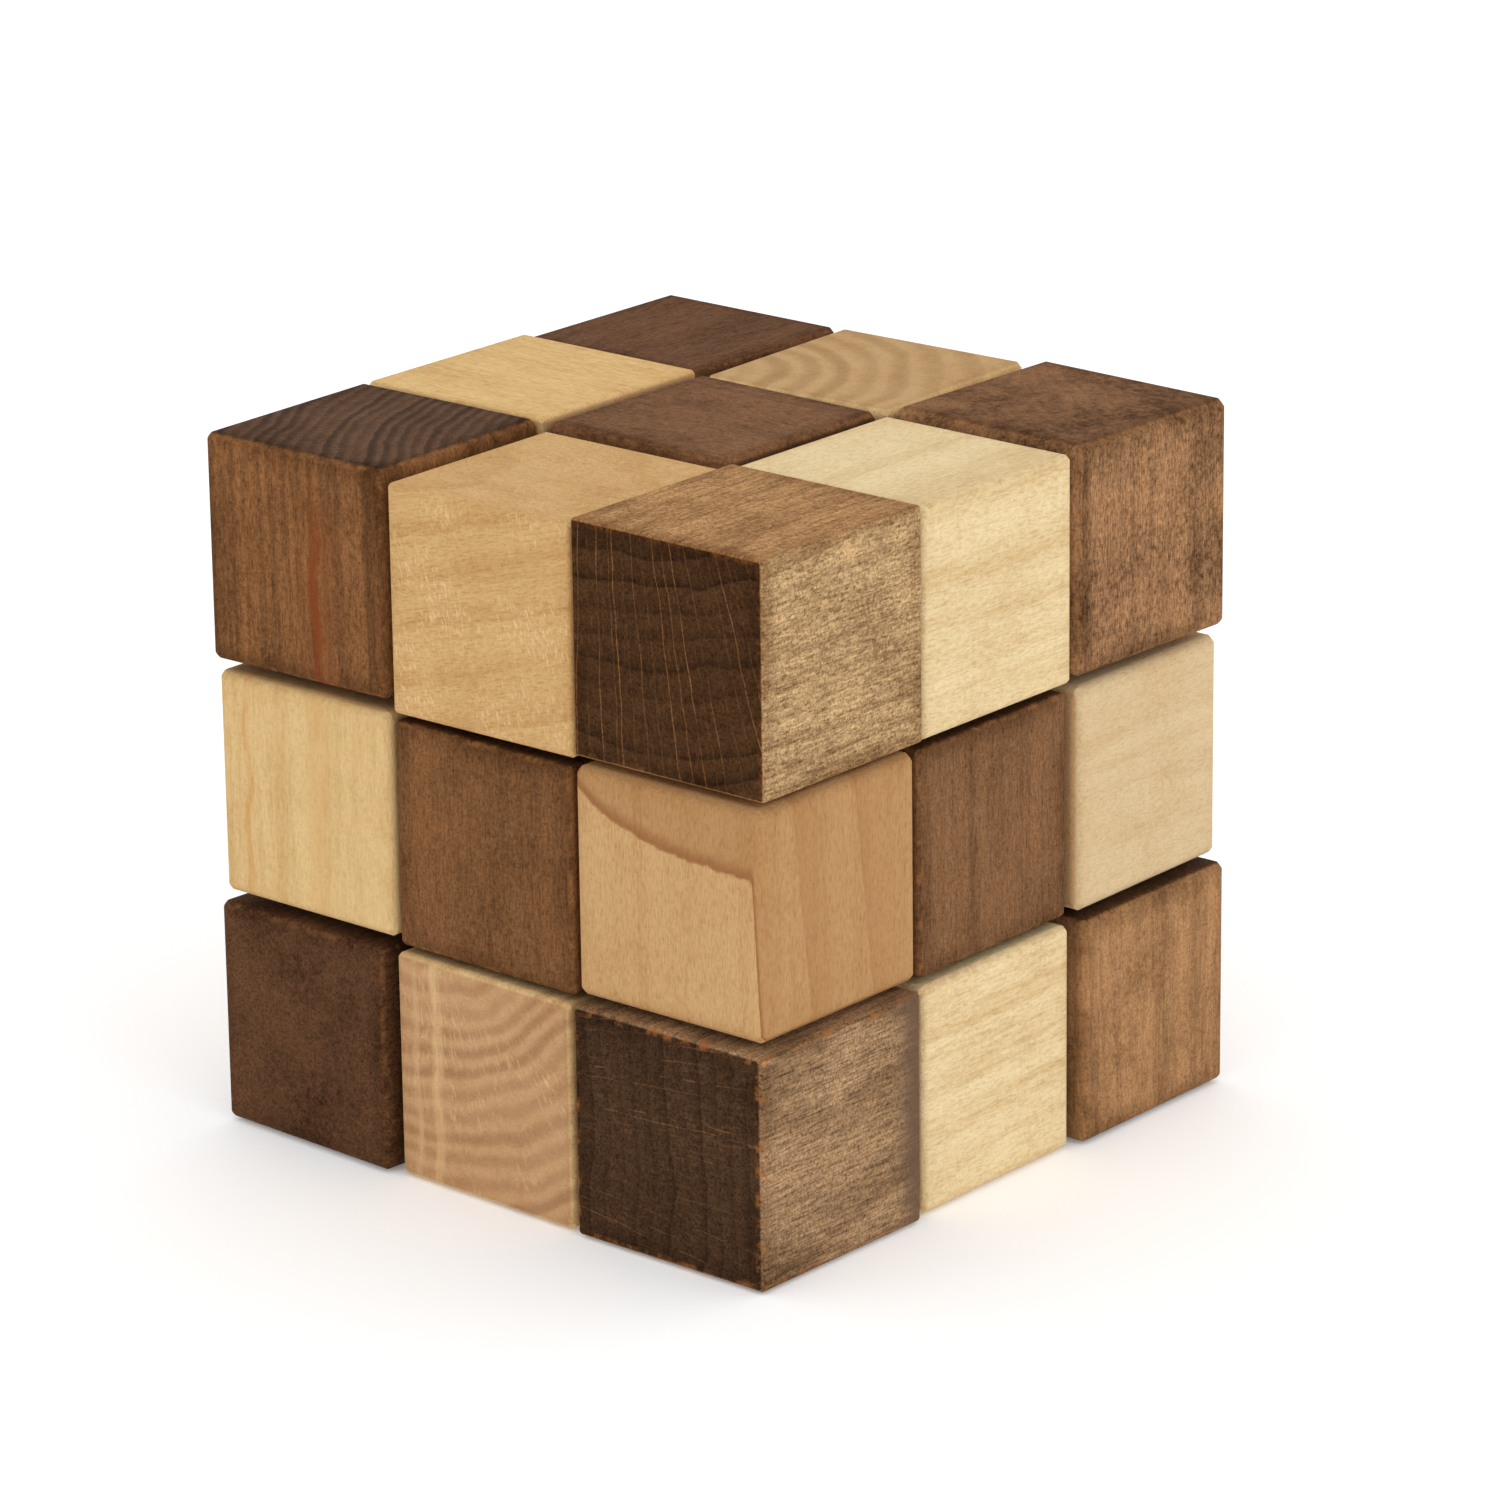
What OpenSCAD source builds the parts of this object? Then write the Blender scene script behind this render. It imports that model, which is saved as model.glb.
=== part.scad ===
// Snake cube puzzle: twenty-seven wooden cubes strung on one elastic cord and
// folded into a three by three by three block. The cord runs layer by layer and
// turns the corners inside the cubes, so no bore opens on the outside except the
// two where its ends are tied, which wooden plugs close.
// +Z is up and the block stands on Z = 0, with the origin under its middle.

/* [Cubes] */
// Side of each wooden cube
cube_side = 20; // [18:0.5:30]
// Radius of the sanded edges
edge_round = 0.8; // [0.4:0.1:1]
// How much further than the edges the corners are worn down
corner_wear = 0.2; // [0:0.05:0.5]
// Space between neighbouring cubes of a layer
side_gap = 0.4; // [0.4:0.05:0.8]
// Space between the layers
layer_gap = 0.65; // [0.45:0.05:0.8]

/* [Bores] */
// Diameter of the hole that the cord runs through
bore_d = 4; // [3.6:0.1:4.6]
// Width of the chamfer at the mouth of a hole
mouth_chamfer = 0.4; // [0.2:0.1:0.8]
// Diameter of the wider pocket for the knot in the two end cubes
pocket_d = 6; // [5.8:0.1:7]
// Depth of that pocket
pocket_depth = 7; // [6.8:0.1:7.6]
// Length of the wooden plug that closes the pocket
plug_length = 2; // [1:0.1:2]

/* [Cord] */
// Diameter of the elastic cord
cord_d = 2; // [1:0.1:2.4]
// Diameter of the knot at each end of the cord
knot_d = 5; // [4.8:0.1:5.2]
// Space between one stretch of the cord and the next
cord_gap = 0.3; // [0.2:0.05:0.6]

/* [Hidden] */
$fn = 48;

side_pitch = cube_side + side_gap;
layer_pitch = cube_side + layer_gap;
edge_fn = 24;
corner_fn = 96;
knot_gap = 0.1;
last = 26;
light = [0.85, 0.70, 0.47];
dark = [0.42, 0.28, 0.18];
plug_colour = [0.76, 0.60, 0.40];
cord_colour = [0.90, 0.88, 0.82];

// How loosely each cube sits, and how it differs from the next: its shift along X,
// along Y and upwards, in millimetres, its turn about Z in degrees, the wear of its
// edges and corners as a share of the usual, and how much larger it was cut than
// cube_side. One row of the list is one row of cubes along X, the front row of each
// layer first.
seats = [
    [
        [[-0.2, 0, 0, -3, 1.2, 0.1], [0.2, -0.1, 0, -2, 0.9, 0.1], [0.5, -0.7, 0, -0.5, 0.7, 0.4]],
        [[-0.2, 0.3, 0, 0, 1, 0], [0, 0.1, 0, 0, 1, 0], [0.1, -0.2, 0, 0.5, 1, 0.2]],
        [[-0.3, 0.4, 0, 1, 1, 0], [0, 0.3, 0, 0, 1, 0], [0.7, 0.6, 0, 0.5, 1.2, 0.3]]
    ],
    [
        [[0.2, 0.3, 0.45, -0.5, 1.2, 0], [0.3, 0.2, 0, -1, 0.9, 0], [0.2, -0.2, 0.4, 0, 1.4, 0]],
        [[-0.1, 0.3, 0.15, 0, 1, 0], [-0.1, 0.1, 0.15, 0, 1, 0], [-0.2, -0.1, 0.2, 0.5, 0.8, 0]],
        [[-0.1, 0.3, 0.15, 0, 1, 0], [0, 0.2, 0.15, 0, 1, 0], [0.1, 0.4, 0.2, 1, 1.3, 0]]
    ],
    [
        [[-0.2, 0.2, 0.7, 1, 1.2, 0.1], [0.4, 0.1, 0, 0.5, 0.7, 0], [0.5, 0, 0.5, 0, 0.5, 0.2]],
        [[-0.3, 0.2, 0.5, 0, 0.7, 0.2], [0, 0, 0.6, -0.5, 1.3, 0], [0.2, 0.1, 0.3, 0, 0.9, 0]],
        [[-0.9, 0.2, 0.4, 0, 1.2, -0.2], [-0.4, 0.3, 0.4, 2, 1, -0.1], [0.5, 0.6, 0.5, -1.5, 1.4, 0.3]]
    ]
];

// The cord's order through the block. Each layer is a there-and-back run from the
// front left corner to the back right one. The middle layer is run backwards, and
// the top layer runs along Y where the others run along X.
function there_and_back(row, step) = row % 2 == 0 ? step : 2 - step;
function run(m) = [there_and_back(floor(m / 3), m % 3), floor(m / 3)];
function place(n) = run(floor(n / 9) == 1 ? 17 - n : n % 9);
function cell(n) =
    floor(n / 9) < 2
        ? [place(n)[0], place(n)[1], floor(n / 9)]
        : [place(n)[1], place(n)[0], 2];

function seat(n) = seats[cell(n)[2]][cell(n)[1]][cell(n)[0]];
function turn(n) = seat(n)[3];
function rounding(n) = edge_round * seat(n)[4];
function side(n) = cube_side + seat(n)[5];
function centre(n) = [
    (cell(n)[0] - 1) * side_pitch + seat(n)[0],
    (cell(n)[1] - 1) * side_pitch + seat(n)[1],
    cell(n)[2] * layer_pitch + side(n) / 2 + seat(n)[2]
];

// Distance from a cube's middle to its worn corners. The three rounded bars that
// make the cube leave their corners further out, by the wear.
function corner_reach(n) =
    sqrt(3) * (side(n) / 2 - rounding(n) * (1 - sqrt(0.5))) - corner_wear * seat(n)[4];

// The cord leaves cube n towards cube n + 1. At the two ends it goes on outwards,
// to the knots: out of the left side at the start, out of the back at the end.
function step_out(n) = n == last ? [0, 1, 0] : cell(n + 1) - cell(n);
function step_in(n) = n == 0 ? [-1, 0, 0] : cell(n - 1) - cell(n);

// Turns a shape built along +Z so that it points along one of the axes.
module along(d) {
    if (d == [1, 0, 0])
        rotate([0, 90, 0]) children();
    else if (d == [-1, 0, 0])
        rotate([0, -90, 0]) children();
    else if (d == [0, 1, 0])
        rotate([-90, 0, 0]) children();
    else if (d == [0, -1, 0])
        rotate([90, 0, 0]) children();
    else if (d == [0, 0, -1])
        rotate([180, 0, 0]) children();
    else
        children();
}

// Puts a shape built about the origin into the seat of cube n.
module seated(n) {
    translate(centre(n))
        rotate([0, 0, turn(n)])
            children();
}

module rounded_square(width, r) {
    inner = width - 2 * r;
    square([inner, width], center = true);
    square([width, inner], center = true);
    for (x = [-1, 1], y = [-1, 1])
        translate([x * inner / 2, y * inner / 2])
            circle(r = r, $fn = edge_fn);
}

module bar(n) {
    linear_extrude(height = side(n), center = true)
        rounded_square(side(n), rounding(n));
}

module blank(n) {
    intersection() {
        bar(n);
        rotate([90, 0, 0]) bar(n);
        rotate([0, 90, 0]) bar(n);
        sphere(r = corner_reach(n), $fn = corner_fn);
    }
}

// A hole from the middle of a cube out through the face that d points to.
module bore(n, d) {
    along(d) {
        cylinder(d = bore_d, h = side(n));
        translate([0, 0, side(n) / 2 - mouth_chamfer])
            cylinder(d1 = bore_d, d2 = bore_d + 4 * mouth_chamfer, h = 2 * mouth_chamfer);
    }
}

// The same hole in an end cube, with the pocket for the knot and its plug.
module pocket_bore(n, d) {
    along(d) {
        cylinder(d = bore_d, h = side(n));
        translate([0, 0, side(n) / 2 - pocket_depth])
            cylinder(d = pocket_d, h = 2 * pocket_depth);
    }
}

// Cube n: a straight hole, or two holes that meet in the middle at a right angle.
module puzzle_cube(n) {
    color(n % 2 == 0 ? dark : light)
        seated(n)
            difference() {
                blank(n);
                if (n == 0)
                    pocket_bore(n, step_in(n));
                else
                    bore(n, step_in(n));
                if (n == last)
                    pocket_bore(n, step_out(n));
                else
                    bore(n, step_out(n));
                sphere(d = bore_d);
            }
}

// The stretch of cord from the middle of cube n to just short of the next middle.
module cord(n) {
    v = centre(n + 1) - centre(n);
    length = norm(v) - cord_d / 2 - cord_gap;
    color(cord_colour)
        translate(centre(n))
            rotate([0, acos(v[2] / norm(v)), atan2(v[1], v[0])]) {
                cylinder(d = cord_d, h = length);
                sphere(d = cord_d);
            }
}

// A knot on the shoulder of an end cube's pocket, with the tail of cord that leads
// to it. It is thicker than the hole, so that the cord can't slip through.
module knot(n, d, start) {
    seat_height = sqrt(pow(knot_d / 2, 2) - pow(bore_d / 2, 2));
    knot_at = side(n) / 2 - pocket_depth + seat_height + knot_gap;
    color(cord_colour)
        seated(n)
            along(d) {
                translate([0, 0, start])
                    cylinder(d = cord_d, h = knot_at - start);
                translate([0, 0, knot_at])
                    sphere(d = knot_d);
            }
}

// The wooden plug, pressed into the pocket until it is flush with the cube.
module plug(n, d) {
    color(plug_colour)
        seated(n)
            along(d)
                translate([0, 0, side(n) / 2 - plug_length])
                    cylinder(d = pocket_d, h = plug_length);
}

module knot_start() {
    knot(0, step_in(0), cord_d / 2 + cord_gap);
}

module knot_end() {
    knot(last, step_out(last), cord_d / 2 - cord_gap);
}

module plug_start() {
    plug(0, step_in(0));
}

module plug_end() {
    plug(last, step_out(last));
}

module cube_01() { puzzle_cube(0); }
module cube_02() { puzzle_cube(1); }
module cube_03() { puzzle_cube(2); }
module cube_04() { puzzle_cube(3); }
module cube_05() { puzzle_cube(4); }
module cube_06() { puzzle_cube(5); }
module cube_07() { puzzle_cube(6); }
module cube_08() { puzzle_cube(7); }
module cube_09() { puzzle_cube(8); }
module cube_10() { puzzle_cube(9); }
module cube_11() { puzzle_cube(10); }
module cube_12() { puzzle_cube(11); }
module cube_13() { puzzle_cube(12); }
module cube_14() { puzzle_cube(13); }
module cube_15() { puzzle_cube(14); }
module cube_16() { puzzle_cube(15); }
module cube_17() { puzzle_cube(16); }
module cube_18() { puzzle_cube(17); }
module cube_19() { puzzle_cube(18); }
module cube_20() { puzzle_cube(19); }
module cube_21() { puzzle_cube(20); }
module cube_22() { puzzle_cube(21); }
module cube_23() { puzzle_cube(22); }
module cube_24() { puzzle_cube(23); }
module cube_25() { puzzle_cube(24); }
module cube_26() { puzzle_cube(25); }
module cube_27() { puzzle_cube(26); }

module cord_01() { cord(0); }
module cord_02() { cord(1); }
module cord_03() { cord(2); }
module cord_04() { cord(3); }
module cord_05() { cord(4); }
module cord_06() { cord(5); }
module cord_07() { cord(6); }
module cord_08() { cord(7); }
module cord_09() { cord(8); }
module cord_10() { cord(9); }
module cord_11() { cord(10); }
module cord_12() { cord(11); }
module cord_13() { cord(12); }
module cord_14() { cord(13); }
module cord_15() { cord(14); }
module cord_16() { cord(15); }
module cord_17() { cord(16); }
module cord_18() { cord(17); }
module cord_19() { cord(18); }
module cord_20() { cord(19); }
module cord_21() { cord(20); }
module cord_22() { cord(21); }
module cord_23() { cord(22); }
module cord_24() { cord(23); }
module cord_25() { cord(24); }
module cord_26() { cord(25); }

cube_01();
cube_02();
cube_03();
cube_04();
cube_05();
cube_06();
cube_07();
cube_08();
cube_09();
cube_10();
cube_11();
cube_12();
cube_13();
cube_14();
cube_15();
cube_16();
cube_17();
cube_18();
cube_19();
cube_20();
cube_21();
cube_22();
cube_23();
cube_24();
cube_25();
cube_26();
cube_27();
cord_01();
cord_02();
cord_03();
cord_04();
cord_05();
cord_06();
cord_07();
cord_08();
cord_09();
cord_10();
cord_11();
cord_12();
cord_13();
cord_14();
cord_15();
cord_16();
cord_17();
cord_18();
cord_19();
cord_20();
cord_21();
cord_22();
cord_23();
cord_24();
cord_25();
cord_26();
knot_start();
knot_end();
plug_start();
plug_end();
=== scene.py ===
"""Looks for the snake cube: 27 wooden cubes on one elastic cord, folded into a block."""

import math

import bpy
from mathutils import Matrix, Vector


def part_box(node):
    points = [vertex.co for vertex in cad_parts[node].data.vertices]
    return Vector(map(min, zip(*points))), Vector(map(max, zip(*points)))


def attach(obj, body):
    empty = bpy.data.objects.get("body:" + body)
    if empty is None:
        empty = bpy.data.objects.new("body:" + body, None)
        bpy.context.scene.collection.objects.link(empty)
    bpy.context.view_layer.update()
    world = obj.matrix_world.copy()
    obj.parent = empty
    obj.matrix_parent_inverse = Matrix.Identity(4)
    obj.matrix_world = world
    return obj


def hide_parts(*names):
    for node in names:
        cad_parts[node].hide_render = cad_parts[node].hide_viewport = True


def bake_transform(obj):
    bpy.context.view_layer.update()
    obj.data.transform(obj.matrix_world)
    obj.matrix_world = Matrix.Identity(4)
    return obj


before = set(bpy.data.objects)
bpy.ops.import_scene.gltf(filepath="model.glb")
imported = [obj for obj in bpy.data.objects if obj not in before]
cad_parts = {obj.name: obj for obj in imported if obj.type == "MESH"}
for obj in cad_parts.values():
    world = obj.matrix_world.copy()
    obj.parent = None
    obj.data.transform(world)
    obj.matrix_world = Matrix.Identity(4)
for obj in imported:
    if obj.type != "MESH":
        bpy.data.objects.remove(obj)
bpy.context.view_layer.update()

MM = 0.001
LAST = 27  # the cubes are numbered from 1 in the order of the cord
HALF_SIDE = 10.0  # of a cube, in mm
CORD_RADIUS = 1.0 * MM


def lin(r, g, b):
    """An sRGB colour of 0 to 255 as the linear colour that the nodes take."""
    def one(c):
        c /= 255
        return c / 12.92 if c <= 0.04045 else ((c + 0.055) / 1.055) ** 2.4
    return (one(r), one(g), one(b), 1.0)


# ---------------------------------------------------------------- node helpers
class Nodes:
    """Builds shader nodes in one tree with short calls that return sockets."""

    def __init__(self, tree):
        self.tree = tree

    def add(self, kind, **values):
        node = self.tree.nodes.new(kind)
        for name, value in values.items():
            setattr(node, name, value)
        return node

    def put(self, socket, value):
        if isinstance(value, bpy.types.NodeSocket):
            self.tree.links.new(value, socket)
        elif isinstance(value, (tuple, list)) and len(value) == 3 and socket.type == "RGBA":
            socket.default_value = (*value, 1.0)
        else:
            socket.default_value = value

    def math(self, operation, a, b=0.0, clamp=False):
        node = self.add("ShaderNodeMath", operation=operation, use_clamp=clamp)
        self.put(node.inputs[0], a)
        self.put(node.inputs[1], b)
        return node.outputs[0]

    def plus(self, a, b):
        return self.math("ADD", a, b)

    def less(self, a, b):
        return self.math("SUBTRACT", a, b)

    def times(self, a, b):
        return self.math("MULTIPLY", a, b)

    def vector(self, operation, a, b=(0, 0, 0)):
        node = self.add("ShaderNodeVectorMath", operation=operation)
        self.put(node.inputs[0], a)
        self.put(node.inputs[1], b)
        return node.outputs["Value" if operation in ("LENGTH", "DOT_PRODUCT") else "Vector"]

    def scaled(self, vector, factors):
        return self.vector("MULTIPLY", vector, factors)

    def split(self, vector):
        node = self.add("ShaderNodeSeparateXYZ")
        self.put(node.inputs[0], vector)
        return node.outputs[0], node.outputs[1], node.outputs[2]

    def join(self, x, y, z):
        node = self.add("ShaderNodeCombineXYZ")
        for socket, value in zip(node.inputs, (x, y, z)):
            self.put(socket, value)
        return node.outputs[0]

    def noise(self, vector, scale=1.0, detail=2.0, roughness=0.5, distortion=0.0):
        node = self.add("ShaderNodeTexNoise")
        self.put(node.inputs["Vector"], vector)
        self.put(node.inputs["Scale"], scale)
        node.inputs["Detail"].default_value = detail
        node.inputs["Roughness"].default_value = roughness
        node.inputs["Distortion"].default_value = distortion
        return node.outputs["Fac"]

    def white(self, value):
        """A random number from 0 to 1 for each value."""
        node = self.add("ShaderNodeTexWhiteNoise", noise_dimensions="1D")
        self.put(node.inputs["W"], value)
        return node.outputs["Value"]

    def span(self, value, low, high, to_low=0.0, to_high=1.0, smooth=True):
        node = self.add("ShaderNodeMapRange", clamp=True)
        node.interpolation_type = "SMOOTHSTEP" if smooth else "LINEAR"
        for socket, v in zip(node.inputs[:5], (value, low, high, to_low, to_high)):
            self.put(socket, v)
        return node.outputs[0]

    def mix(self, factor, a, b, blend="MIX"):
        node = self.add("ShaderNodeMix", data_type="RGBA", blend_type=blend)
        self.put(node.inputs[0], factor)
        self.put(node.inputs[6], a)
        self.put(node.inputs[7], b)
        return node.outputs[2]


def new_material(name):
    material = bpy.data.materials.new(name)
    material.use_nodes = True
    material.node_tree.nodes.clear()
    n = Nodes(material.node_tree)
    shader = n.add("ShaderNodeBsdfPrincipled")
    out = n.add("ShaderNodeOutputMaterial")
    n.put(out.inputs["Surface"], shader.outputs[0])
    return material, n, shader


def set_bump(n, shader, height, distance, strength=1.0):
    bump = n.add("ShaderNodeBump")
    bump.inputs["Strength"].default_value = strength
    bump.inputs["Distance"].default_value = distance
    n.put(bump.inputs["Height"], height)
    n.put(shader.inputs["Normal"], bump.outputs[0])


# ---------------------------------------------------------------- wood
# One cube's wood. Lengths are in mm from the cube's own middle, colours are sRGB from 0 to 255,
# and strengths go from 0 to about 1 unless a line says otherwise.
#   fibre        the axis that the fibres run along
#   pith         the middle of the tree, along the two other axes in X, Y, Z order
#   tilt         how far the fibres lean about the first of those axes, in degrees
#   turn         the cube's own turn about Z in the block, in degrees
#   spacing      the width of a growth ring in mm, and warp, how much the rings bend
#   softness     0 for a ramp with a sharp late line, 1 for an even wave
#   rings        how dark the late wood is. ring_shade is its shade on the end grain
#   rays         short flecks. fleck_scale makes them finer, and fleck_colour (late_colour
#                where it isn't given) is their colour on the side grain
#   lines        long thin rays on the end grain, line_gap mm apart, and broken, how far
#                they are cut into dashes
#   streaks      fibres, dashes, open vessels on the other faces and on the X faces, with
#                dash_length as a factor, and bands, broad tones along the fibres
#    blotch       clouds of stain, grit, fine mottling (up to 5), grime, darker edges
#   rub          rubbed edges, in rub_colour
#   shade, glow  what the darker and the lighter places multiply the colour by, where glow is
#                three linear factors
# Four keys are for single cubes: bars and side_bar (see add_bar and add_side_bar), figure (see
# add_figure) and smooth_tint, which multiplies the colour of all but the X faces.
WOOD = {
    "fibre": "Z", "pith": (60, 25), "tilt": 0.0, "turn": 0.0, "spacing": 1.8, "warp": 1.0, "softness": 0.0,
    "rings": 0.4, "rays": 0.4, "fleck_scale": 1.0, "lines": 0.0, "line_gap": 1.0, "broken": 0.0,
    "streaks": 0.5, "dashes": (0.4, 0.4), "dash_length": 1.0, "bands": 0.5, "blotch": 0.5,
}
NUMBER_KEYS = (
    "spacing", "warp", "softness", "rings", "rays", "fleck_scale", "lines", "line_gap", "broken",
    "streaks", "dash_length", "bands", "blotch", "grit", "rub", "grime",
)
COLOUR_KEYS = (
    "side_colour", "late_colour", "end_colour", "ring_shade", "ray_colour", "rub_colour", "shade",
)
FACING_X = (0.3, 0.9)  # the size of a normal's X part, from any other face to an X face
FACING_END = (0.75, 0.95)  # the same along the fibres, from side grain to end grain
DARK_MARGIN = (7.6, 9.8)  # where the faces start to darken towards their edges, in mm from the middle
RUBBED_EDGE = (9.35, 9.8)
PLUG_NUMBER = 31  # a number that no cube has, so that the plugs' pattern is their own
DARK = {
    **WOOD, "side_colour": (130, 92, 62), "late_colour": (92, 62, 40), "end_colour": (84, 58, 40),
    "ray_colour": (156, 110, 70), "rub_colour": (156, 106, 62), "rub": 0.55, "grime": 0.55,
    "ring_shade": (120, 110, 100), "grit": 3.0,
    "shade": (158, 148, 136), "glow": (1.38, 1.36, 1.30),
}
LIGHT = {
    **WOOD, "side_colour": (222, 190, 138), "late_colour": (190, 146, 94), "end_colour": (196, 156, 110),
    "ray_colour": (232, 198, 148), "rub_colour": (190, 140, 88), "rub": 0.35, "rays": 0.25,
    "streaks": 0.4, "blotch": 0.4, "grime": 0.15, "grit": 1.3,
    "ring_shade": (190, 172, 150), "shade": (222, 202, 170), "glow": (1.10, 1.12, 1.16),
}
LOOKS = {
    # bottom layer, row by row from the front
    (0, 0, 0): {**DARK, "fibre": "Y", "pith": (30, -60), "side_colour": (92, 62, 42),
                "end_colour": (90, 61, 41), "blotch": 0.9, "rings": 0.1, "rays": 0.15, "grit": 4.5,
                "rub": 0.35, "turn": -3},
    (1, 0, 0): {**LIGHT, "fibre": "Y", "pith": (-8, 24), "spacing": 1.9, "warp": 0.25, "rings": 0.6,
                "ring_shade": (180, 160, 144), "softness": 0.8, "rays": 1.0, "end_colour": (194, 153, 112),
                "rub": 0.1, "late_colour": (168, 124, 84), "turn": -2,
                "bars": ((-5.4, 0.9, (214, 178, 130), 0.8, 0.5, 10, 12),
                         (-7.9, 0.6, (206, 170, 124), 0.6, 0.3, 10, 12))},
    (2, 0, 0): {**DARK, "fibre": "Y", "pith": (-69, -1), "spacing": 1.7, "side_colour": (166, 134, 101),
                "lines": 0.55, "line_gap": 1.15, "broken": 1.0, "streaks": 0.75, "dashes": (0.4, 0.6),
                "dash_length": 2.4, "end_colour": (72, 51, 35), "rings": 0.9, "warp": 0.25, "grit": 5.0,
                "ray_colour": (140, 100, 70), "rub_colour": (156, 98, 50), "rub": 0.7, "turn": -0.5,
                "side_bar": (9.4, 3.6, (104, 82, 66), 0.8)},
    (0, 1, 0): {**LIGHT, "fibre": "X"},
    (1, 1, 0): {**DARK, "fibre": "X"},
    (2, 1, 0): {**LIGHT, "fibre": "Y", "pith": (70, 30), "spacing": 3.4, "rings": 0.45, "bands": 1.0,
                "side_colour": (227, 205, 161), "late_colour": (204, 165, 111), "turn": 0.5},
    (0, 2, 0): {**DARK, "fibre": "Z", "turn": 1},
    (1, 2, 0): {**LIGHT, "fibre": "Y", "pith": (12, 30), "rings": 0.6, "warp": 0.5, "softness": 0.4},
    (2, 2, 0): {**DARK, "fibre": "Z", "pith": (50, 40), "side_colour": (168, 126, 87), "bands": 0.7,
                "streaks": 0.4, "dashes": (0.25, 0.25), "blotch": 0.6, "turn": 0.5},
    # middle layer
    (0, 0, 1): {**LIGHT, "fibre": "Z", "pith": (60, 8), "spacing": 4.4, "warp": 0.6, "rings": 0.3,
                "bands": 0.5, "dashes": (0.2, 0.2), "side_colour": (216, 184, 131),
                "late_colour": (192, 147, 93), "turn": -0.5,
                "bars": ((-6.6, 0.6, (196, 140, 76), 0.6, 0.4, 10, 12),
                         (1.6, 1.8, (206, 164, 106), 0.5, 0.6, 10, 12))},
    (1, 0, 1): {**DARK, "fibre": "Z", "pith": (20, 50), "side_colour": (124, 85, 53), "blotch": 0.6,
                "turn": -1},
    (2, 0, 1): {**LIGHT, "fibre": "Z", "pith": (4, 60), "spacing": 6.0, "rings": 0.1,
                "side_colour": (182, 141, 95), "late_colour": (160, 112, 70), "rub": 0.2, "figure": True},
    (0, 1, 1): {**DARK, "fibre": "Z"},
    (1, 1, 1): {**LIGHT, "fibre": "Z"},
    (2, 1, 1): {**DARK, "fibre": "Z", "pith": (60, 10), "side_colour": (131, 94, 64), "streaks": 0.5,
                "blotch": 0.5, "turn": 0.5},
    (0, 2, 1): {**LIGHT, "fibre": "Z", "pith": (20, 40), "spacing": 3.0},
    (1, 2, 1): {**DARK, "fibre": "Y"},
    (2, 2, 1): {**LIGHT, "fibre": "Y", "pith": (30, 34), "spacing": 6.0, "rings": 0.35, "warp": 1.4,
                "streaks": 0.2, "dashes": (0.2, 0.2), "side_colour": (211, 186, 146),
                "late_colour": (190, 150, 104), "turn": 1},
    # top layer
    (0, 0, 2): {**DARK, "fibre": "Z", "pith": (57, 28), "side_colour": (134, 91, 56),
                "late_colour": (108, 74, 46), "bands": 0.8, "end_colour": (96, 69, 51), "rings": 1.0,
                "spacing": 1.2, "warp": 0.2, "softness": 0.5, "ring_shade": (92, 84, 76), "turn": 1,
                "bars": ((2.2, 0.8, (124, 54, 24), 0.9, 0.5, 1, 8),
                         (2.6, 2.8, (134, 76, 42), 0.45, 0.1, 3, 9))},
    (1, 0, 2): {**LIGHT, "fibre": "X", "pith": (-4, 70), "spacing": 4.2, "rays": 1.0, "fleck_scale": 1.8,
                "fleck_colour": (234, 198, 150), "tilt": 16, "warp": 0.4, "rings": 0.7,
                "side_colour": (204, 166, 113), "late_colour": (174, 124, 72), "turn": 0.5},
    (2, 0, 2): {**DARK, "fibre": "Y", "pith": (-8, 56), "spacing": 2.3, "warp": 0.3, "rays": 0.3,
                "lines": 0.9, "line_gap": 1.15, "rings": 1.0, "streaks": 0.8, "dashes": (0.4, 0.65),
                "shade": (176, 156, 132), "side_colour": (181, 151, 112), "late_colour": (138, 104, 72),
                "end_colour": (76, 56, 38), "ring_shade": (92, 84, 76), "ray_colour": (150, 112, 74),
                "rub": 0.3, "grit": 5.0, "smooth_tint": (246, 228, 210)},
    (0, 1, 2): {**LIGHT, "fibre": "X", "side_colour": (218, 183, 127), "rings": 0.2, "streaks": 0.4},
    (1, 1, 2): {**DARK, "fibre": "X", "side_colour": (122, 86, 59), "blotch": 0.7, "rub": 0.6,
                "turn": -0.5},
    (2, 1, 2): {**LIGHT, "fibre": "Y", "pith": (44, 50), "spacing": 5.5, "rings": 0.35, "bands": 0.6,
                "side_colour": (226, 204, 160), "late_colour": (202, 167, 115)},
    (0, 2, 2): {**DARK, "fibre": "Y", "side_colour": (104, 71, 48)},
    (1, 2, 2): {**LIGHT, "fibre": "Z", "pith": (-11, -10), "spacing": 2.8, "warp": 0.25, "rings": 0.55,
                "softness": 0.7, "end_colour": (194, 158, 112), "late_colour": (164, 122, 78), "turn": 1.5},
    (2, 2, 2): {**DARK, "fibre": "Z", "pith": (40, 50), "side_colour": (152, 113, 80), "blotch": 1.2,
                "bands": 1.0, "streaks": 0.35, "dashes": (0.4, 0.7), "end_colour": (124, 88, 60),
                "turn": -1.5},
}


def socket_name(key):
    return key.capitalize().replace("_", " ")


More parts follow.
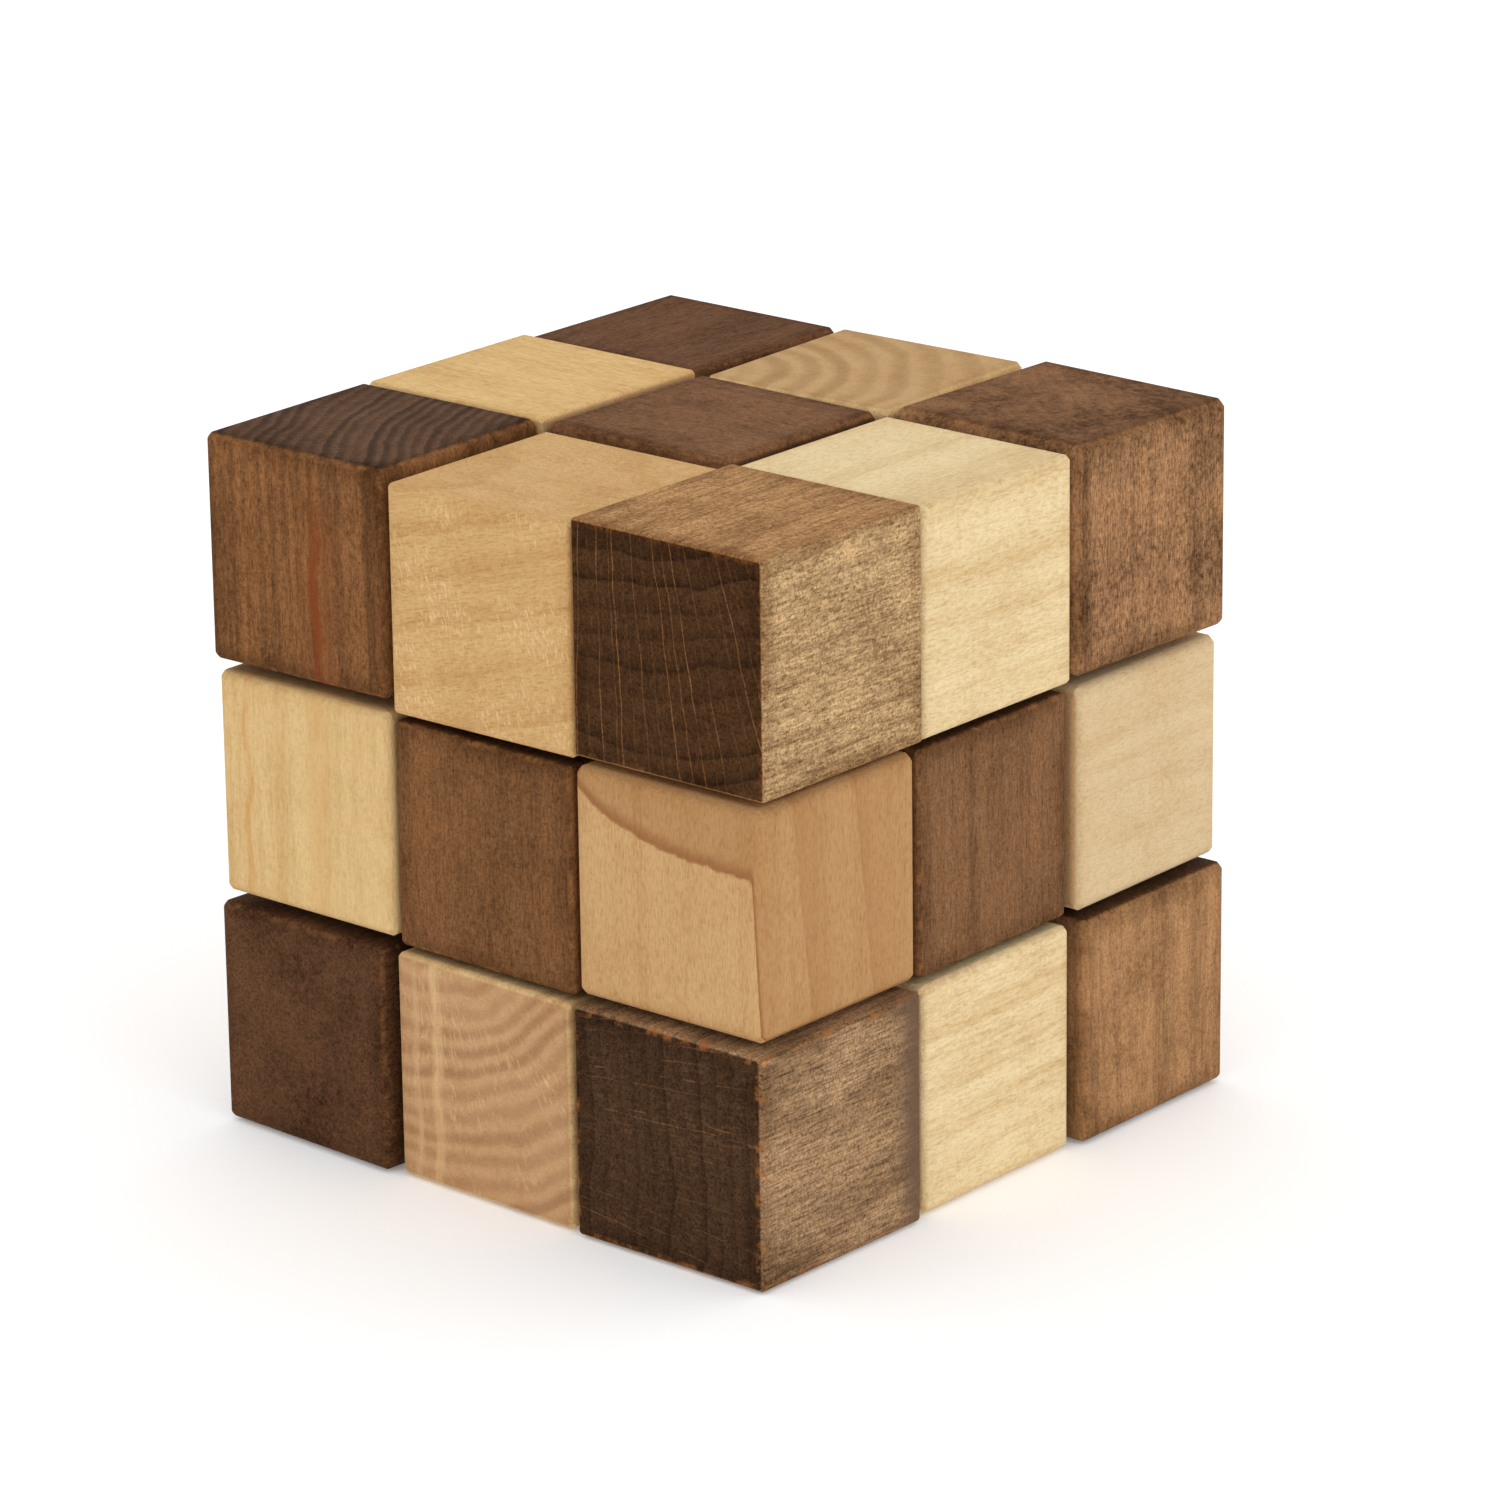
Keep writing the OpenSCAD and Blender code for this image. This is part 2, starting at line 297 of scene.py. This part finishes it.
def wood_group():
    """The wood pattern. Place is in mm, with the fibres along Z and the pith at X = Y = 0."""
    tree = bpy.data.node_groups.new("wood", "ShaderNodeTree")
    face = tree.interface
    face.new_socket("Place", in_out="INPUT", socket_type="NodeSocketVector")
    face.new_socket("Body", in_out="INPUT", socket_type="NodeSocketVector")
    for name in ("End", "Edge", "Reach", "Dashes", *map(socket_name, NUMBER_KEYS)):
        face.new_socket(name, in_out="INPUT", socket_type="NodeSocketFloat")
    for name in ("Fleck colour", "Glow", *map(socket_name, COLOUR_KEYS)):
        face.new_socket(name, in_out="INPUT", socket_type="NodeSocketColor")
    face.new_socket("Colour", in_out="OUTPUT", socket_type="NodeSocketColor")
    face.new_socket("Roughness", in_out="OUTPUT", socket_type="NodeSocketFloat")
    face.new_socket("Height", in_out="OUTPUT", socket_type="NodeSocketFloat")
    n = Nodes(tree)
    given = n.add("NodeGroupInput").outputs
    out = n.add("NodeGroupOutput")
    place, body = given["Place"], given["Body"]

    def shade(colour, amount):
        """Darkens a colour where the amount is above zero and lightens it below zero."""
        colour = n.mix(n.math("MAXIMUM", amount, 0.0), colour,
                       n.mix(1.0, colour, given["Shade"], "MULTIPLY"))
        return n.mix(n.math("MAXIMUM", n.times(amount, -1.0), 0.0), colour,
                     n.mix(1.0, colour, given["Glow"], "MULTIPLY"))

    # growth rings about the pith, bent by a slow noise: a soft ramp with a thin dark end
    x, y, z = n.split(place)
    radius = n.vector("LENGTH", n.join(x, y, 0.0))
    slow = n.noise(n.scaled(place, (0.10, 0.10, 0.03)), detail=1)
    quick = n.noise(n.scaled(place, (0.5, 0.5, 0.10)), detail=2)
    bend = n.times(n.less(slow, 0.5), n.times(given["Warp"], 12.0))
    bend = n.plus(bend, n.times(n.less(quick, 0.5), 0.6))
    grown = n.math("DIVIDE", n.plus(radius, bend), given["Spacing"])
    phase = n.math("FRACT", grown)
    late = n.plus(n.times(n.math("POWER", phase, 1.6), 0.5), n.times(n.math("POWER", phase, 7.0), 0.5))
    late = n.times(late, n.span(phase, 0.88, 1.0, 1.0, 0.0))
    wave = n.math("ABSOLUTE", n.less(n.math("FRACT", n.plus(phase, 0.35)), 0.5))
    late = n.plus(late, n.times(n.less(n.span(wave, 0.05, 0.45), late), given["Softness"]))
    year = n.noise(n.join(n.math("FLOOR", grown), 0.5, 0.0), scale=1.7, detail=0)
    ring = n.times(late, n.span(year, 0.3, 0.7, 0.4, 1.0))

    # rays run out from the pith: short flecks, and a few long thin lines
    outward = n.times(n.math("ARCTAN2", y, x), given["Reach"])
    fleck = n.noise(n.join(n.times(outward, 3.6), n.times(radius, 0.7), n.times(z, 3.0)),
                    scale=given["Fleck scale"], detail=1)
    patchy = n.noise(n.scaled(place, (0.16, 0.16, 0.16)), detail=2)
    fleck = n.times(n.span(fleck, 0.52, 0.70), n.span(patchy, 0.40, 0.62, 0.15, 1.0))
    sway = n.noise(n.scaled(place, (0.25, 0.25, 0.1)), detail=1)
    across = n.plus(n.math("DIVIDE", outward, given["Line gap"]), n.times(n.less(sway, 0.5), 0.5))
    chance = n.white(n.math("FLOOR", across))
    centre = n.span(n.white(n.plus(n.math("FLOOR", across), 0.37)), 0.0, 1.0, 0.2, 0.8, smooth=False)
    away = n.math("ABSOLUTE", n.less(n.math("FRACT", across), centre))
    fading = n.noise(n.join(n.math("FLOOR", across), n.times(radius, 0.10), n.times(z, 0.4)), detail=1)
    away = n.times(away, given["Line gap"])
    line = n.times(n.span(away, 0.02, 0.08, 1.0, 0.0), n.span(fading, 0.30, 0.60, 0.2, 1.0))
    parts = n.noise(n.join(n.times(n.math("FLOOR", across), 1.7), n.times(radius, 0.38), n.times(z, 0.4)),
                    detail=2)
    line = n.times(line, n.plus(1.0, n.times(given["Broken"], n.less(n.span(parts, 0.44, 0.58), 1.0))))
    line = n.times(line, n.span(chance, 0.2, 0.9, 0.2, 1.0))

    # fibres, open vessels, bands of tone, clouds of stain and a fine grit
    fibre = n.noise(n.scaled(place, (2.8, 2.8, 0.30)), detail=4, roughness=0.6)
    band = n.noise(n.scaled(place, (0.40, 0.40, 0.016)), detail=3, roughness=0.6)
    stretched = n.math("DIVIDE", n.times(z, 1.1), given["Dash length"])
    dash = n.noise(n.join(n.times(x, 6.0), n.times(y, 6.0), stretched), detail=2, roughness=0.55)
    vessel = n.span(dash, 0.52, 0.70)
    pit = n.span(n.noise(n.scaled(place, (5.5, 5.5, 1.2)), detail=2, roughness=0.6), 0.52, 0.75)
    cloud = n.noise(n.scaled(body, (0.12, 0.12, 0.12)), detail=3, roughness=0.6)
    weave = n.noise(n.scaled(place, (1.5, 1.5, 1.9)), detail=3, roughness=0.7)
    grit = n.noise(n.scaled(body, (4.2, 4.2, 4.2)), detail=3, roughness=0.75)

    # side grain
    side = n.mix(n.times(ring, given["Rings"]), given["Side colour"], given["Late colour"])
    tone = n.plus(n.times(n.times(n.less(fibre, 0.5), given["Streaks"]), 3.2),
                  n.times(n.times(n.less(band, 0.5), given["Bands"]), 3.0))
    side = shade(side, tone)
    side = shade(side, n.times(n.less(dash, 0.5), n.times(given["Dashes"], 5.0)))
    side = n.mix(n.times(n.times(fleck, given["Rays"]), 0.6), side, given["Fleck colour"])

    # end grain: rings, pits and rays
    end = n.mix(n.times(ring, given["Rings"]), given["End colour"],
                n.mix(1.0, given["End colour"], given["Ring shade"], "MULTIPLY"))
    end = shade(end, n.times(n.less(pit, 0.3), n.plus(n.times(given["Dashes"], 0.5), 0.3)))
    end = shade(end, n.times(n.times(n.less(band, 0.5), given["Bands"]), 1.2))
    end = n.mix(n.times(n.times(fleck, given["Rays"]), 0.35), end, given["Ray colour"])
    end = n.mix(n.times(n.times(line, given["Lines"]), 0.9), end, given["Ray colour"])
    colour = n.mix(given["End"], side, end)

    # stain, grit, and the rubbed edges
    patch = n.plus(n.times(n.less(cloud, 0.5), 2.6), n.times(n.less(weave, 0.5), 2.6))
    colour = shade(colour, n.times(patch, given["Blotch"]))
    colour = shade(colour, n.times(n.less(grit, 0.5), given["Grit"]))
    worn = n.noise(n.scaled(body, (0.9, 0.9, 0.9)), detail=4, roughness=0.7)
    # each face darkens towards its edges, more in some places than others
    margin = n.times(n.span(given["Edge"], *DARK_MARGIN), n.span(cloud, 0.35, 0.6, 0.3, 1.0))
    colour = shade(colour, n.times(margin, given["Grime"]))
    rub = n.times(n.span(given["Edge"], *RUBBED_EDGE), n.span(worn, 0.46, 0.66))
    colour = n.mix(n.times(rub, given["Rub"]), colour, given["Rub colour"])

    rough = n.plus(0.56, n.times(fibre, 0.18))
    rough = n.plus(rough, n.times(n.less(cloud, 0.5), 0.2))
    rough = n.less(rough, n.times(rub, 0.12))
    height = n.times(fibre, n.plus(0.35, n.times(given["Streaks"], 0.5)))
    height = n.less(height, n.times(vessel, 0.5))
    height = n.less(height, n.times(n.times(pit, given["End"]), 0.5))
    height = n.plus(height, n.times(grit, 0.35))
    height = n.less(height, n.times(ring, 0.15))
    n.put(out.inputs["Colour"], colour)
    n.put(out.inputs["Roughness"], rough)
    n.put(out.inputs["Height"], height)
    return tree


def add_bar(n, colour, x, z, body, centre, half_width, tint, strength, steady, low, high):
    """A soft upright bar of another tone, centred on one place along X, in mm.

    Steady is the least strength where the bar breaks up. It fades out from low to high along Z.
    """
    drift = n.noise(n.scaled(body, (0.2, 0.2, 0.2)), detail=1)
    away = n.math("ABSOLUTE", n.less(n.plus(x, n.times(n.less(drift, 0.5), 2.0)), centre))
    bar = n.span(away, half_width * 0.2, half_width, 1.0, 0.0)
    broken = n.noise(n.scaled(body, (1.6, 1.6, 0.25)), detail=3, roughness=0.6)
    bar = n.times(bar, n.span(broken, 0.35, 0.65, steady, 1.0))
    bar = n.times(bar, n.span(z, low, high, 1.0, 0.0))
    return n.mix(n.times(bar, strength), colour, lin(*tint))


def add_side_bar(n, colour, y, across_x, body, at, width, tint, strength):
    """A band of another tone on the X faces. It grows towards +Y over its width, up to at, in mm."""
    drift = n.noise(n.scaled(body, (0.5, 0.5, 0.5)), detail=3)
    place = n.plus(y, n.times(n.less(drift, 0.5), 2.0))
    bar = n.times(n.span(place, at - width, at), n.span(across_x, *FACING_X, 0.0, strength))
    return n.mix(bar, colour, lin(*tint))


def add_figure(n, colour, x, y, z, body):
    """A flat-sawn cube's bold curved growth line on its -Y face, and the straight ones on its X face."""
    wander = n.less(n.noise(n.scaled(body, (0.9, 0.9, 0.9)), detail=3, roughness=0.6), 0.5)
    curve = n.plus(4.0, n.times(n.math("EXPONENT", n.times(n.plus(x, HALF_SIDE), -0.18)), 4.8))
    rounded = n.add("ShaderNodeMath", operation="SMOOTH_MIN")
    n.put(rounded.inputs[0], n.less(curve, z))
    n.put(rounded.inputs[1], n.times(n.less(n.less(9.3, x), n.times(z, 0.04)), 6.0))
    rounded.inputs[2].default_value = 1.5
    depth = n.plus(rounded.outputs[0], n.times(wander, 0.8))
    colour = n.mix(n.span(depth, -0.1, 0.3), colour, n.mix(1.0, colour, (1.20, 1.29, 1.37), "MULTIPLY"))
    rim = n.times(n.span(depth, -1.6, -0.1), n.span(depth, 0.0, 0.35, 1.0, 0.0))
    colour = n.mix(n.times(rim, 0.85), colour, lin(148, 98, 60))
    rings = n.math("DIVIDE", n.plus(n.plus(y, n.times(z, 0.12)), n.plus(4.8, n.times(wander, 0.4))), 7.8)
    after = n.math("POWER", n.less(1.0, n.math("FRACT", rings)), 2.0)
    outside = n.span(depth, -1.7, -0.6, 1.0, 0.0)
    colour = n.mix(n.times(n.times(after, outside), 0.45), colour, lin(160, 112, 72))
    return colour


def wood_material(name, look, middle, number, group):
    material, n, shader = new_material(name)
    where = n.add("ShaderNodeTexCoord")
    # place in the cube, in mm, square to its faces. The number keeps the cubes' patterns apart
    offset = n.vector("SUBTRACT", where.outputs["Object"], tuple(middle))
    spin = n.add("ShaderNodeVectorRotate", rotation_type="Z_AXIS")
    n.put(spin.inputs["Vector"], offset)
    spin.inputs["Angle"].default_value = -math.radians(look["turn"])
    body = n.scaled(spin.outputs[0], (1 / MM, 1 / MM, 1 / MM))
    x, y, z = n.split(body)
    order = {"X": (y, z, x), "Y": (x, z, y), "Z": (x, y, z)}[look["fibre"]]
    along = n.join(*order)
    if look["tilt"]:
        lean = n.add("ShaderNodeVectorRotate", rotation_type="X_AXIS")
        n.put(lean.inputs["Vector"], along)
        lean.inputs["Angle"].default_value = math.radians(look["tilt"])
        along = lean.outputs[0]
    pith = (look["pith"][0], look["pith"][1], -37.0 * number)
    place = n.vector("SUBTRACT", along, pith)
    shifted = n.vector("ADD", body, (53.0 * number, 17.0 * number, 29.0 * number))

    # how squarely the surface faces along the fibres: 1 on end grain
    normal = n.split(where.outputs["Normal"])["XYZ".index(look["fibre"])]
    end = n.span(n.math("ABSOLUTE", normal), *FACING_END)

    # near an edge, the second largest of the three distances is close to half a side
    ax, ay, az = (n.math("ABSOLUTE", s) for s in (x, y, z))
    edge = n.math("MAXIMUM", n.math("MINIMUM", ax, ay), n.math("MINIMUM", n.math("MAXIMUM", ax, ay), az))

    pattern = n.add("ShaderNodeGroup", node_tree=group)
    for socket, value in (
        ("Place", place), ("Body", shifted), ("End", end), ("Edge", edge),
        ("Reach", math.hypot(*look["pith"])),
    ):
        n.put(pattern.inputs[socket], value)
    for key in NUMBER_KEYS:
        n.put(pattern.inputs[socket_name(key)], look[key])
    for key in COLOUR_KEYS:
        n.put(pattern.inputs[socket_name(key)], lin(*look[key]))
    across_x = n.math("ABSOLUTE", n.split(where.outputs["Normal"])[0])
    n.put(pattern.inputs["Dashes"], n.span(across_x, *FACING_X, *look["dashes"]))
    n.put(pattern.inputs["Fleck colour"], lin(*look.get("fleck_colour", look["late_colour"])))
    n.put(pattern.inputs["Glow"], look["glow"])
    colour = pattern.outputs["Colour"]
    if "smooth_tint" in look:
        colour = n.mix(n.span(across_x, *FACING_X, 1.0, 0.0), colour,
                       n.mix(1.0, colour, lin(*look["smooth_tint"]), "MULTIPLY"))
    for bar in look.get("bars", ()):
        colour = add_bar(n, colour, x, z, shifted, *bar)
    if "side_bar" in look:
        colour = add_side_bar(n, colour, y, across_x, shifted, *look["side_bar"])
    if look.get("figure"):
        colour = add_figure(n, colour, x, y, z, shifted)
    n.put(shader.inputs["Base Color"], colour)
    n.put(shader.inputs["Roughness"], pattern.outputs["Roughness"])
    shader.inputs["Specular IOR Level"].default_value = 0.02
    set_bump(n, shader, pattern.outputs["Height"], 0.06 * MM, 0.8)
    return material


def dress(node, material):
    """Gives a CAD node one material all over."""
    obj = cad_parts[node]
    if not obj.material_slots:
        obj.data.materials.append(material)
    for used in obj.material_slots:
        used.material = material
    for polygon in obj.data.polygons:
        polygon.use_smooth = True


def cell(number):
    """Where cube number 1 to 27 sits: its column, row and layer."""
    layer, step = divmod(number - 1, 9)
    if layer == 1:
        step = 8 - step
    row, col = divmod(step, 3)
    col = col if row % 2 == 0 else 2 - col
    return (row, col, layer) if layer == 2 else (col, row, layer)


def middle(node):
    low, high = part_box(node)
    return (low + high) / 2


group = wood_group()
for number in range(1, LAST + 1):
    node = f"cube_{number:02d}"
    dress(node, wood_material(f"wood_{number:02d}", LOOKS[cell(number)], middle(node), number, group))

plug_look = {**LIGHT, "spacing": 1.4, "rings": 0.6, "end_colour": (196, 150, 100),
             "rub_colour": (170, 124, 80)}
for node, fibre in (("plug_start", "X"), ("plug_end", "Y")):
    look = {**plug_look, "fibre": fibre, "pith": (3, 5)}
    dress(node, wood_material(f"wood_{node}", look, middle(node), PLUG_NUMBER, group))


# ---------------------------------------------------------------- cord
def cord_material():
    material, n, shader = new_material("braided_elastic")
    uv = n.add("ShaderNodeTexCoord").outputs["UV"]
    around, along, _ = n.split(uv)

    def strands(slope):
        turned = n.math("ADD", n.math("MULTIPLY", around, 8.0), n.math("MULTIPLY", along, slope))
        return n.math("ABSOLUTE", n.math("SUBTRACT", n.math("FRACT", turned), 0.5))

    one, other = strands(1.0), strands(-1.0)
    weave = n.math("MULTIPLY", n.math("MAXIMUM", one, other), 2.0)
    fuzz = n.noise(n.scaled(uv, (40.0, 30.0, 1.0)), detail=3, roughness=0.7)
    shade = n.math("ADD", n.math("MULTIPLY", weave, 0.7), n.math("MULTIPLY", fuzz, 0.4), clamp=True)
    n.put(shader.inputs["Base Color"], n.mix(shade, lin(150, 142, 126), lin(232, 226, 210)))
    n.put(shader.inputs["Roughness"], n.span(fuzz, 0.2, 0.8, 0.7, 0.9))
    shader.inputs["Sheen Weight"].default_value = 0.3
    set_bump(n, shader, weave, 0.12 * MM)
    return material


def tube(name, points, radius, material, sides=16):
    """A tube along the points, with UVs round it and along it, in diameters."""
    points = [Vector(p) for p in points]
    verts, faces, uvs = [], [], []
    normal = None
    run, lengths = 0.0, []
    for i, p in enumerate(points):
        ahead = points[min(i + 1, len(points) - 1)] - points[max(i - 1, 0)]
        ahead.normalize()
        if normal is None:
            normal = ahead.orthogonal().normalized()
        normal = (normal - ahead * normal.dot(ahead)).normalized()
        other = ahead.cross(normal)
        if i:
            run += (p - points[i - 1]).length
        lengths.append(run)
        for k in range(sides):
            a = 2 * math.pi * k / sides
            verts.append(p + (normal * math.cos(a) + other * math.sin(a)) * radius)
    for i in range(len(points) - 1):
        for k in range(sides):
            m = (k + 1) % sides
            faces.append((i * sides + k, i * sides + m, (i + 1) * sides + m, (i + 1) * sides + k))
            low, high = lengths[i] / (2 * radius), lengths[i + 1] / (2 * radius)
            uvs += [(k / sides, low), ((k + 1) / sides, low), ((k + 1) / sides, high), (k / sides, high)]
    for first in (0, (len(points) - 1) * sides):
        ring = tuple(range(first, first + sides))
        faces.append(ring[::-1] if first == 0 else ring)
        uvs += [(0.5, 0.0)] * sides
    mesh = bpy.data.meshes.new(name)
    mesh.from_pydata(verts, [], faces)
    layer = mesh.uv_layers.new(name="UVMap")
    for loop, uv in zip(layer.data, uvs):
        loop.uv = uv
    for polygon in mesh.polygons:
        polygon.use_smooth = len(polygon.vertices) == 4
    mesh.materials.append(material)
    obj = bpy.data.objects.new(name, mesh)
    bpy.context.scene.collection.objects.link(obj)
    return obj


CORD_STEPS = 24
elastic = cord_material()
for number in range(1, LAST):
    here, there = middle(f"cube_{number:02d}"), middle(f"cube_{number + 1:02d}")
    route = [here.lerp(there, i / CORD_STEPS) for i in range(CORD_STEPS + 1)]
    piece = tube(f"elastic_{number:02d}", route, CORD_RADIUS, elastic)
    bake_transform(piece)
    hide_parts(f"cord_{number:02d}")


def smoothed(points, rounds=3):
    """The points with their corners cut, so that they follow a smooth curve."""
    for _ in range(rounds):
        cut = [points[0]]
        for p, q in zip(points, points[1:]):
            cut += [p.lerp(q, 0.25), p.lerp(q, 0.75)]
        points = cut + [points[-1]]
    return points


def overhand_knot(node, cube, outward):
    """The tail of the cord and the overhand knot in it, along outward from the middle of the cube."""
    origin = middle(cube)
    outward = Vector(outward).normalized()
    across = outward.orthogonal().normalized()
    frame_turn = Matrix((across, outward.cross(across), outward)).transposed()
    knot_height, wide, tall, strand = 4.9, 0.72, 0.95, 0.7  # mm
    steps, opening = 32, 0.3  # opening is half the angle that is left out of the trefoil, in radians

    loop = []
    for i in range(steps + 1):
        t = opening + (2 * math.pi - 2 * opening) * i / steps
        loop.append(Vector((
            wide * (math.sin(t) + 2 * math.sin(2 * t)),
            wide * (math.cos(t) - 2 * math.cos(2 * t)),
            knot_height - tall * math.sin(3 * t),
        )))
    lead = [Vector((0, 0, 2.4)), Vector((0.2, 0, 3.2))]
    end = [Vector((-0.2, 0, 6.6)), Vector((0, 0, 7.6))]
    tail = [Vector((0, 0, z)) for z in (0.7, 1.6, 2.6)]
    knotted = smoothed(lead + loop + end)
    for name, points, radius in (("tail", tail, CORD_RADIUS), ("loop", knotted, strand * MM)):
        piece = tube(f"{node}_{name}", [origin + frame_turn @ (p * MM) for p in points], radius, elastic)
        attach(piece, f"{cube}_body")
        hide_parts(node)


overhand_knot("knot_start", "cube_01", (-1, 0, 0))
overhand_knot("knot_end", "cube_27", (0, 1, 0))


# ---------------------------------------------------------------- floor, light, camera
def floor_material():
    material, n, shader = new_material("floor")
    place = n.add("ShaderNodeTexCoord").outputs["Object"]
    tone = n.noise(n.scaled(place, (3.0, 3.0, 3.0)), detail=2)
    n.put(shader.inputs["Base Color"], n.mix(tone, (0.96, 0.96, 0.96), (0.98, 0.98, 0.98)))
    shader.inputs["Roughness"].default_value = 0.9
    shader.inputs["Specular IOR Level"].default_value = 0.1
    shader.inputs["Emission Color"].default_value = (1.0, 1.0, 1.0, 1.0)
    shader.inputs["Emission Strength"].default_value = 0.15
    return material


FLOOR_SIZE = 30.0
FLOOR_DROP = 0.2 * MM  # keeps the floor off the cubes' undersides
bpy.ops.mesh.primitive_plane_add(size=FLOOR_SIZE, location=(0, 0, -FLOOR_DROP))
floor = bpy.context.object
floor.name = "floor"
floor.data.materials.append(floor_material())

centre = middle("cube_14")


def area_light(name, azimuth, elevation, distance, size, power):
    a, e = math.radians(azimuth), math.radians(elevation)
    way = Vector((math.sin(a) * math.cos(e), -math.cos(a) * math.cos(e), math.sin(e)))
    data = bpy.data.lights.new(name, "AREA")
    data.shape = "DISK"
    data.size = size
    data.energy = power
    light = bpy.data.objects.new(name, data)
    light.location = centre + way * distance
    light.rotation_mode = "QUATERNION"
    light.rotation_quaternion = (-way).to_track_quat("-Z", "Y")
    bpy.context.scene.collection.objects.link(light)


area_light("key", azimuth=80, elevation=25, distance=1.2, size=0.9, power=1.6)

world = bpy.data.worlds.new("studio")
world.use_nodes = True
sky = world.node_tree.nodes["Background"]
sky.inputs["Color"].default_value = (1, 1, 1, 1)
sky.inputs["Strength"].default_value = 1.0
bpy.context.scene.world = world
bpy.context.scene.view_settings.view_transform = "Standard"

AZIMUTH, ELEVATION, ROLL = 40.75, 18.4, -0.84  # degrees
DISTANCE = 0.595
LENS = 166.2
AIM_RIGHT, AIM_UP = 2.75 * MM, 1.2 * MM  # the block sits a little left of and below the view's middle

a, e, r = (math.radians(v) for v in (AZIMUTH, ELEVATION, ROLL))
back = Vector((math.sin(a) * math.cos(e), -math.cos(a) * math.cos(e), math.sin(e)))
right = Vector((math.cos(a), math.sin(a), 0))
up = back.cross(right)
target = centre + right * AIM_RIGHT + up * AIM_UP
place = centre + back * DISTANCE
toward = (target - place).normalized()
level = toward.cross(up).normalized()
side = level * math.cos(r) + level.cross(toward) * math.sin(r)
above = side.cross(toward)
data = bpy.data.cameras.new("camera")
data.lens = LENS
data.sensor_width = 36
data.clip_start = 0.01
data.clip_end = 100
camera = bpy.data.objects.new("camera", data)
camera.matrix_world = Matrix((
    (side.x, above.x, -toward.x, place.x),
    (side.y, above.y, -toward.y, place.y),
    (side.z, above.z, -toward.z, place.z),
    (0, 0, 0, 1),
))
bpy.context.scene.collection.objects.link(camera)
bpy.context.scene.camera = camera

bpy.context.view_layer.update()
